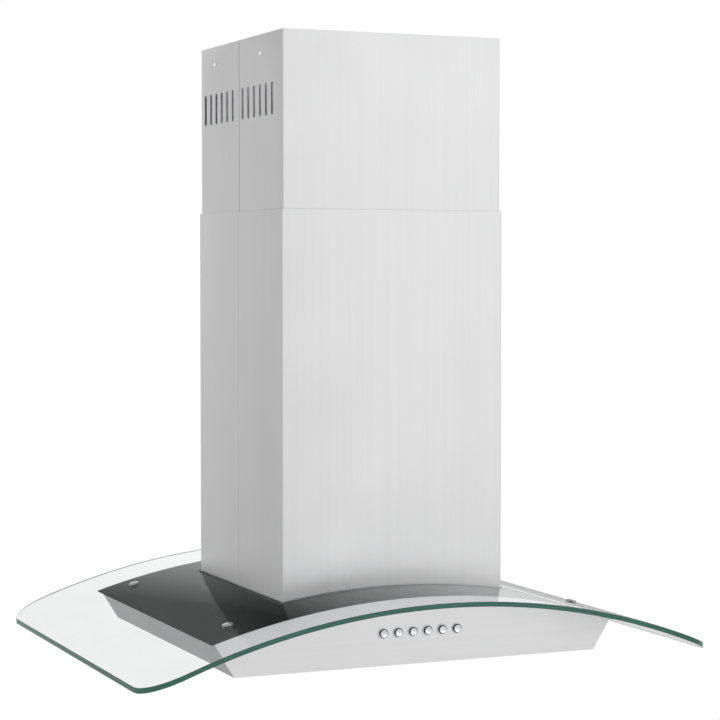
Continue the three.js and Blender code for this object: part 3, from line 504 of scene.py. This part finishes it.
def material(name):
    """Each material is made once, when first asked for."""
    colours = bpy.context.scene.hood_colours
    makers = {
        "upright_steel": lambda: brushed_stainless("stainless_brushed_upright", (1, 1, 130), "Z"),
        "level_steel": lambda: brushed_stainless("stainless_brushed_level", (130, 130, 1)),
        "panel_steel": lambda: brushed_stainless("stainless_brushed_panel", (130, 1, 1)),
        # near-black deck: partly dark paint, partly painted shade for its shadowed look under the glass
        "deck": lambda: stoved_enamel("deck_black_and_painted_shade", linear(colours.enamel), 0.8, 0.03),
        "motor": lambda: stoved_enamel("enamel_motor_black", linear("1c1d1f"), 0.4, 0.5),
        "galvanised": lambda: galvanised_sheet("steel_galvanised"),
        "zinc": lambda: plated("steel_zinc_plated", linear(colours.zinc), 0.25, 0.38),
        "chrome": lambda: plated("brass_chrome_plated", linear(colours.chrome), 0.05, 0.12),
        "nickel": lambda: plated("steel_nickel_plated", linear("a3a6a8"), 0.15, 0.25),
        "aluminium": lambda: plated("aluminium_mill_finish", linear("b9bcbf"), 0.3, 0.45, 15),
        "black": lambda: moulded_plastic("abs_moulded_black", linear("1b1c1e"), 0.5),
        "screw_white_highlight": lambda: moulded_plastic("plastic_white_painted_highlight", linear("fbfbfa"), 0.35),
        "mark": lambda: moulded_plastic("ink_printed_grey", linear("4a4b4d"), 0.5),
        # near-white plastic for the sleeve screws: painted highlight for the bright dots at their holes
        "silicone": lambda: moulded_plastic("silicone_moulded_clear", linear("d4d9d8"), 0.5, 1.41),
        "glass_face": float_glass_face,
        "glass_edge": float_glass_edge,
        "lens": opal_lens,
    }
    if name not in made_materials:
        made_materials[name] = makers[name]()
    return made_materials[name]


# ---------------------------------------------------------------- chimney, canopy and housing
def finish_and_done(operator):
    """Tells the user which piece is there."""
    operator.report({"INFO"}, operator.bl_label + " made")
    return {"FINISHED"}


class HOOD_OT_chimney(bpy.types.Operator):
    """Finish the two chimney sleeves and the ceiling frame, and add the sleeve screws"""
    bl_idname = "hood.chimney"
    bl_label = "Chimney and ceiling frame"

    def execute(self, context):
        for level in ("upper", "lower"):
            for side in ("front", "rear"):
                refine(f"{level}_chimney_{side}", material("upright_steel"), 0.35)
        self.make_screws()
        paint([f"{level}_rail_{i}" for level in ("upper", "lower") for i in CORNERS], material("galvanised"))
        paint(["ceiling_bracket"], material("zinc"))
        return finish_and_done(self)

    def make_screws(self):
        """Near-white screws through the holes near the top of the upper sleeve: a 6 mm dome on a 3.6 mm shank.
        Their near-white colour is a painted highlight for the bright dot at each hole.
        """
        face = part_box("upper_chimney_front")[1].x
        radius, brim, rise = mm(3), mm(0.4), mm(2)
        shank, length, seat = mm(1.8), mm(6), mm(0.1)
        section = [(0, -length), (shank, -length), (shank, seat), (radius - mm(0.1), seat), (radius, brim)]
        section += dome(radius, brim, rise, 15)
        for sign, side in ((-1, "left"), (1, "right")):
            for y, half in SLEEVE_SCREWS:
                screw = lathe(f"sleeve_screw_{side}_{half}", section, 24)
                turn = Matrix.Rotation(sign * math.radians(90), 4, "Y")
                screw.data.transform(Matrix.Translation((sign * face, y, -SLEEVE_SCREW_DROP)) @ turn)
                dress(screw, "ceiling_frame", material("screw_white_highlight"))


class HOOD_OT_glass_canopy(bpy.types.Operator):
    """Build the arched glass with ground arrises and green edges"""
    bl_idname = "hood.glass_canopy"
    bl_label = "Glass canopy"

    def execute(self, context):
        hood = sizes()
        plan = rounded_rect(GLASS_SIZE.x / 2, GLASS_SIZE.y / 2, hood.glass_corner, 16)
        canopy = arched_sheet("canopy_glass", plan, hood.arch_radius - hood.glass_thickness, hood.arch_radius,
                              hood.arc_steps)
        cut_chimney_hole(canopy, CHIMNEY_SIZE.x / 2 + CHIMNEY_GAP)
        soften(canopy, hood.glass_arris, 1, math.radians(50))
        canopy.data.materials.append(material("glass_face"))
        canopy.data.materials.append(material("glass_edge"))
        axis = Vector((0, 0, CROWN_Z - hood.arch_radius))
        for face in canopy.data.polygons:
            outward = face.center - axis
            outward.y = 0
            face.material_index = 0 if abs(face.normal.dot(outward.normalized())) > GLASS_FACE_OVER else 1
        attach(canopy, "hood")
        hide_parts("glass_canopy")
        return finish_and_done(self)


class HOOD_OT_glass_fixings(bpy.types.Operator):
    """Build the domed cap screws and their clear washers"""
    bl_idname = "hood.glass_fixings"
    bl_label = "Glass screws and washers"

    def execute(self, context):
        hood = sizes()
        # A 14 mm head, 3.2 mm tall, on a 6 mm shank with a chamfered tip. The head stands on a 0.3 mm seal.
        radius, brim, rise = mm(7), mm(1), mm(2.2)
        shank, length, chamfer, seat = mm(3), mm(12), mm(0.4), mm(0.3)
        section = [(0, -length), (shank - chamfer, -length), (shank, chamfer - length), (shank, seat),
                   (radius - mm(0.3), seat), (radius, mm(0.5)), (radius, brim)] + dome(radius, brim, rise, 10)
        for i in CORNERS:
            washer, _ = span(f"glass_washer_{i}")
            tilt = math.asin(washer.x / (hood.arch_radius - hood.glass_thickness))
            x = hood.arch_radius * math.sin(tilt)
            place = Matrix.Translation((x, washer.y, arch_z(x, hood.arch_radius)))
            place = place @ Matrix.Rotation(tilt, 4, "Y")
            cap = lathe(f"glass_cap_{i}", section, 48)
            cap.data.transform(place)
            dress(cap, "hood", material("nickel"))
            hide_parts(f"glass_screw_{i}")
        paint([f"glass_washer_{i}" for i in CORNERS], material("silicone"))
        return finish_and_done(self)


class HOOD_OT_top_deck(bpy.types.Operator):
    """Build the dark curved deck under the glass"""
    bl_idname = "hood.top_deck"
    bl_label = "Top deck"

    def execute(self, context):
        hood = sizes()
        _, size = span("top_deck")
        top = hood.arch_radius - hood.glass_thickness - DECK_GAP
        outline = rounded_rect(size.x / 2, size.y / 2, hood.fold, 4)
        deck = arched_sheet("deck_enamelled", outline, top - hood.sheet, top, hood.arc_steps)
        cut_chimney_hole(deck, CHASSIS_SIZE.x / 2 - DECK_LEDGE)
        dress(deck, "hood", material("deck"))
        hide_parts("top_deck")
        return finish_and_done(self)


class HOOD_OT_housing(bpy.types.Operator):
    """Finish the steel housing, the bottom panel and the filters"""
    bl_idname = "hood.housing"
    bl_label = "Housing and filters"

    def execute(self, context):
        refine("body_shell", material("level_steel"), 0.4)
        refine("bottom_panel", material("panel_steel"), 0.25)
        for side in SIDES:
            refine(f"baffle_filter_{side}", material("panel_steel"), 0.3, merge_flats=False)
            refine(f"filter_latch_{side}", material("black"), 0.6, 3)
        return finish_and_done(self)


CAP_DISH = mm(0.3)          # how far a button's face lies under its rim
CAP_DEPTH = mm(0.7)         # of the chromed cap on its black plunger


def ring_section(radius):
    """A pressed ring 1.5 mm tall with a 0.8 mm wall and a narrow foot that stands out round it."""
    inner, outer, foot = radius - mm(0.8), radius + mm(0.02), radius + mm(0.35)
    return [(inner, mm(1.05)), (outer, mm(1.05)), (outer, mm(0.1)), (foot, mm(0.1)), (foot, mm(1)),
            (radius + mm(0.15), mm(1.35)), (radius - mm(0.25), mm(1.5)), (inner, mm(1.4))]


def cap_section(radius, stand):
    """A thin cap with a rounded rim round a shallow dish."""
    return [(0, stand - CAP_DEPTH), (radius - mm(0.05), stand - CAP_DEPTH), (radius, stand - mm(0.6)),
            (radius - mm(0.15), stand - mm(0.25)), (radius - mm(0.6), stand - mm(0.05)),
            (radius - mm(1.1), stand - mm(0.2)), (radius - mm(1.5), stand - CAP_DISH), (0, stand - CAP_DISH)]


def plunger_section(radius, stand, stem):
    """The moulded plunger behind a cap, a little narrower than it."""
    waist, top = radius - mm(0.1), stand - CAP_DEPTH - mm(0.05)
    return [(0, -stem), (waist, -stem), (waist, top), (0, top)]


class HOOD_OT_push_buttons(bpy.types.Operator):
    """Build the six chromed push buttons with their rings and plain marks"""
    bl_idname = "hood.push_buttons"
    bl_label = "Push buttons"

    def execute(self, context):
        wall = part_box("body_shell")[0].y
        facing = Matrix.Rotation(math.radians(90), 4, "X")
        for i in BUTTONS:
            low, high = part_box(f"push_button_{i}")
            middle = (low + high) / 2
            radius, stand, stem = (high.x - low.x) / 2, wall - low.y, high.y - wall
            body = f"button_{i}"
            ring = lathe(f"button_ring_{i}", ring_section(sizes().ring_radius), 48)
            cap = lathe(f"button_cap_{i}", cap_section(radius, stand), 48)
            plunger = lathe(f"button_plunger_{i}", plunger_section(radius, stand, stem), 48)
            mark = button_mark(i, stand - CAP_DISH)
            for piece in (ring, cap, plunger, mark):
                piece.data.transform(Matrix.Translation((middle.x, wall, middle.z)) @ facing)
            dress(ring, "hood", material("chrome"))
            dress(cap, body, material("chrome"))
            dress(plunger, body, material("black"))
            dress(mark, body, material("mark"))
            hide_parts(f"push_button_{i}")
        paint(["switch_bank"], material("black"))
        return finish_and_done(self)


def stroke(bm, points, width, low, high):
    """A flat printed line through points, as a thin closed solid for each stretch."""
    for (x0, y0), (x1, y1) in zip(points, points[1:]):
        length = math.hypot(x1 - x0, y1 - y0)
        nx, ny = -(y1 - y0) / length * width / 2, (x1 - x0) / length * width / 2
        corners = [(x0 + nx, y0 + ny), (x0 - nx, y0 - ny), (x1 - nx, y1 - ny), (x1 + nx, y1 + ny)]
        base = [bm.verts.new((x, y, low)) for x, y in corners]
        top = [bm.verts.new((x, y, high)) for x, y in corners]
        bm.faces.new(base[::-1])
        bm.faces.new(top)
        for a in range(4):
            b = (a + 1) % 4
            bm.faces.new((base[a], base[b], top[b], top[a]))


def arc(cx, cy, radius, start, stop, steps):
    """Points on an arc from one angle to another, in degrees."""
    angles = [math.radians(start + (stop - start) * i / steps) for i in range(steps + 1)]
    return [(cx + radius * math.cos(a), cy + radius * math.sin(a)) for a in angles]


def button_mark(index, height):
    """A plain mark on a button's face: a power sign, the digits 1 to 4, or a lamp. Points in mm, 4 mm tall."""
    marks = {
        1: [arc(0, 0, 1.5, 125, 415, 20), [(0, 0.3), (0, 1.9)]],
        2: [[(-0.7, 1.3), (0, 2), (0, -2)]],
        3: [arc(0, 0.9, 1.1, 170, -40, 10) + [(-1.1, -2), (1.2, -2)]],
        4: [arc(0, 0.95, 1, 160, -90, 10), arc(0, -0.95, 1.05, 90, -160, 10)],
        5: [[(0.6, -2), (0.6, 2), (-1.2, -0.8), (1.2, -0.8)]],
        6: [arc(0, 0.5, 1.2, -60, 240, 16), [(-0.6, -1.1), (0.6, -1.1)], [(-0.4, -1.7), (0.4, -1.7)]],
    }
    bm = bmesh.new()
    for line in marks[index]:
        stroke(bm, [(mm(x), mm(y)) for x, y in line], mm(0.35), height - mm(0.1), height + mm(0.04))
    return obj_from(f"button_mark_{index}", bm)


def lamp_cup_section(rim, bore, base):
    """A pressed trim ring that stands 1.3 mm proud under the panel, and the closed cup above it."""
    body, depth, seat = rim - mm(5), mm(18), mm(2.6)
    return [(bore, base - mm(0.5)), (bore + mm(0.5), base - mm(1.1)), (bore + mm(3), base - mm(1.3)),
            (rim - mm(1.2), base - mm(1.1)), (rim, base - mm(0.6)), (rim, base - mm(0.3)),
            (body, base - mm(0.3)), (body, base + depth - mm(1)), (body - mm(1), base + depth),
            (0, base + depth), (0, base + seat), (bore, base + seat)]


def lamp_lens_section(radius, low, thickness):
    """A round lens with a faint crown and a rounded lower edge."""
    return [(0, low), (radius - mm(5), low - mm(0.1)), (radius - mm(2), low), (radius, low + mm(0.5)),
            (radius, low + thickness), (0, low + thickness)]


class HOOD_OT_lamps(bpy.types.Operator):
    """Build the four recessed lamps"""
    bl_idname = "hood.lamps"
    bl_label = "Lamps"

    def execute(self, context):
        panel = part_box("bottom_panel")[0].z
        for i in CORNERS:
            centre, cup_size = span(f"lamp_cup_{i}")
            lens_centre, lens_size = span(f"lamp_lens_{i}")
            radius, low = lens_size.x / 2, lens_centre.z - lens_size.z / 2
            cup = lathe(f"lamp_ring_{i}", lamp_cup_section(cup_size.x / 2, radius + mm(0.3), panel), 64)
            lens = lathe(f"lamp_opal_{i}", lamp_lens_section(radius, low, lens_size.z), 64)
            for piece in (cup, lens):
                piece.data.transform(Matrix.Translation((centre.x, centre.y, 0)))
            dress(cup, "hood", material("chrome"))
            dress(lens, "hood", material("lens"))
            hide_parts(f"lamp_cup_{i}")
            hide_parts(f"lamp_lens_{i}")
        return finish_and_done(self)


class HOOD_OT_blower(bpy.types.Operator):
    """Finish the blower, the duct spigot and the electrics"""
    bl_idname = "hood.blower"
    bl_label = "Blower and electrics"

    def execute(self, context):
        paint(["blower_chassis", "scroll_housing", "scroll_cover", "duct_collar"], material("galvanised"))
        paint(["motor_mount", "junction_box", "damper_pin"], material("zinc"))
        paint(["impeller", "damper_flap_front", "damper_flap_rear"], material("aluminium"))
        paint(["motor"], material("motor"))
        paint(["motor_capacitor", "cable_gland", "control_box"], material("black"))
        return finish_and_done(self)


# ---------------------------------------------------------------- stage
class HOOD_OT_stage(bpy.types.Operator):
    """Build the pale floor, the soft light and the camera"""
    bl_idname = "hood.stage"
    bl_label = "Stage"

    def execute(self, context):
        settings = context.scene.hood_stage
        self.make_floor(settings)
        self.make_world(context.scene)
        self.make_lights()
        self.make_camera(context.scene, settings)
        return finish_and_done(self)

    def make_floor(self, settings):
        """A wide white floor under the room's height. It glows, and mirrors leave it out."""
        half, thickness = 60.0, 0.05
        floor = obj_from("floor", prism([(half, half), (-half, half), (-half, -half), (half, -half)],
                                        -settings.room_height - thickness, -settings.room_height))
        pale, tree = new_material("floor_white_paper")
        glow = add(tree, "ShaderNodeEmission", {"Color": [1, 1, 1, 1], "Strength": 1.0})
        add(tree, "ShaderNodeOutputMaterial", None, {"Surface": glow.outputs["Emission"]})
        floor.data.materials.append(pale)
        floor.visible_glossy = False

    def make_world(self, scene):
        """White behind the hood, and a soft studio for its reflections: a base with wide bright or dark areas."""
        base = 0.9
        # direction, degrees of its even core, degrees where it ends, and what it adds to the base
        areas = (
            ((0, 0, 1), 78, 102, 0.12),
            ((0.5, -0.88, 0.2), 6, 38, 0.72),
            ((0.3, 0.92, 0.25), 14, 32, 0.56),
            ((-0.3, 0.85, -0.64), 12, 32, -0.4),
            ((-0.45, 0.85, 0.52), 8, 25, -0.6),
        )
        world = bpy.data.worlds.new("studio")
        world.use_nodes = True
        tree = world.node_tree
        tree.nodes.clear()
        coords = add(tree, "ShaderNodeTexCoord")
        total = add(tree, "ShaderNodeMath", {"operation": "ADD", 0: base, 1: 0.0}).outputs["Value"]
        for direction, core, reach, strength in areas:
            toward = Vector(direction).normalized()
            nearness = add(tree, "ShaderNodeVectorMath", {"operation": "DOT_PRODUCT", 1: toward},
                           {0: coords.outputs["Generated"]})
            area = add(tree, "ShaderNodeMapRange",
                       {"interpolation_type": "SMOOTHSTEP", "From Min": math.cos(math.radians(reach)),
                        "From Max": math.cos(math.radians(core)), "To Min": 0.0, "To Max": strength},
                       {"Value": nearness.outputs["Value"]})
            total = add(tree, "ShaderNodeMath", {"operation": "ADD"},
                        {0: area.outputs["Result"], 1: total}).outputs["Value"]
        studio = add(tree, "ShaderNodeBackground", None, {"Strength": total})
        backdrop = add(tree, "ShaderNodeBackground", {"Color": [1, 1, 1, 1], "Strength": 1.0})
        rays = add(tree, "ShaderNodeLightPath")
        mix = add(tree, "ShaderNodeMixShader", None,
                  {"Fac": rays.outputs["Is Camera Ray"], 1: studio.outputs["Background"],
                   2: backdrop.outputs["Background"]})
        add(tree, "ShaderNodeOutputWorld", None, {"Surface": mix.outputs["Shader"]})
        scene.world = world
        scene.view_settings.view_transform = "Standard"

    def make_lights(self):
        """One square softbox high over the buttons' side, for matt parts. Mirrors and the glass leave it out."""
        lamp = bpy.data.lights.new("softbox", "AREA")
        lamp.shape, lamp.size, lamp.energy = "SQUARE", 1.6, 4
        softbox = bpy.data.objects.new("softbox", lamp)
        softbox.location = (0.3, -1.9, CROWN_Z + 2.4)
        softbox.rotation_euler = (Vector((0, 0, CROWN_Z)) - softbox.location).to_track_quat("-Z", "Y").to_euler()
        softbox.visible_camera = False
        softbox.visible_glossy = False
        softbox.visible_transmission = False
        bpy.context.scene.collection.objects.link(softbox)

    def make_camera(self, scene, settings):
        data = bpy.data.cameras.new("camera")
        data.lens, data.sensor_width, data.clip_end = settings.lens, 36.0, 200.0
        camera = bpy.data.objects.new("camera", data)
        camera.location = Vector(settings.camera_from_crown) + Vector((0, 0, CROWN_Z))
        camera.rotation_euler = (math.radians(90) - settings.camera_pitch, 0, -settings.camera_yaw)
        scene.collection.objects.link(camera)
        scene.camera = camera


# ---------------------------------------------------------------- panel and registration
OPERATORS = (
    HOOD_OT_stage,
    HOOD_OT_chimney,
    HOOD_OT_glass_canopy,
    HOOD_OT_glass_fixings,
    HOOD_OT_top_deck,
    HOOD_OT_housing,
    HOOD_OT_push_buttons,
    HOOD_OT_lamps,
    HOOD_OT_blower,
)


class HOOD_PT_panel(bpy.types.Panel):
    """Sidebar panel with one button for each piece"""
    bl_idname = "HOOD_PT_panel"
    bl_label = "Range Hood"
    bl_space_type = "VIEW_3D"
    bl_region_type = "UI"
    bl_category = "Range Hood"

    def draw(self, context):
        layout = self.layout
        for group in ("hood_sizes", "hood_colours", "hood_stage"):
            settings = getattr(context.scene, group)
            column = layout.column(align=True)
            for name in settings.__annotations__:
                column.prop(settings, name)
        for operator in OPERATORS:
            layout.operator(operator.bl_idname)


CLASSES = (HoodSizes, HoodColours, StageSettings, *OPERATORS, HOOD_PT_panel)


def register():
    for cls in CLASSES:
        bpy.utils.register_class(cls)
    bpy.types.Scene.hood_sizes = PointerProperty(type=HoodSizes)
    bpy.types.Scene.hood_colours = PointerProperty(type=HoodColours)
    bpy.types.Scene.hood_stage = PointerProperty(type=StageSettings)


def unregister():
    for name in ("hood_sizes", "hood_colours", "hood_stage"):
        delattr(bpy.types.Scene, name)
    for cls in reversed(CLASSES):
        bpy.utils.unregister_class(cls)


def main():
    register()
    for operator in OPERATORS:
        group, name = operator.bl_idname.split(".")
        getattr(getattr(bpy.ops, group), name)()


if __name__ == "__main__":
    main()
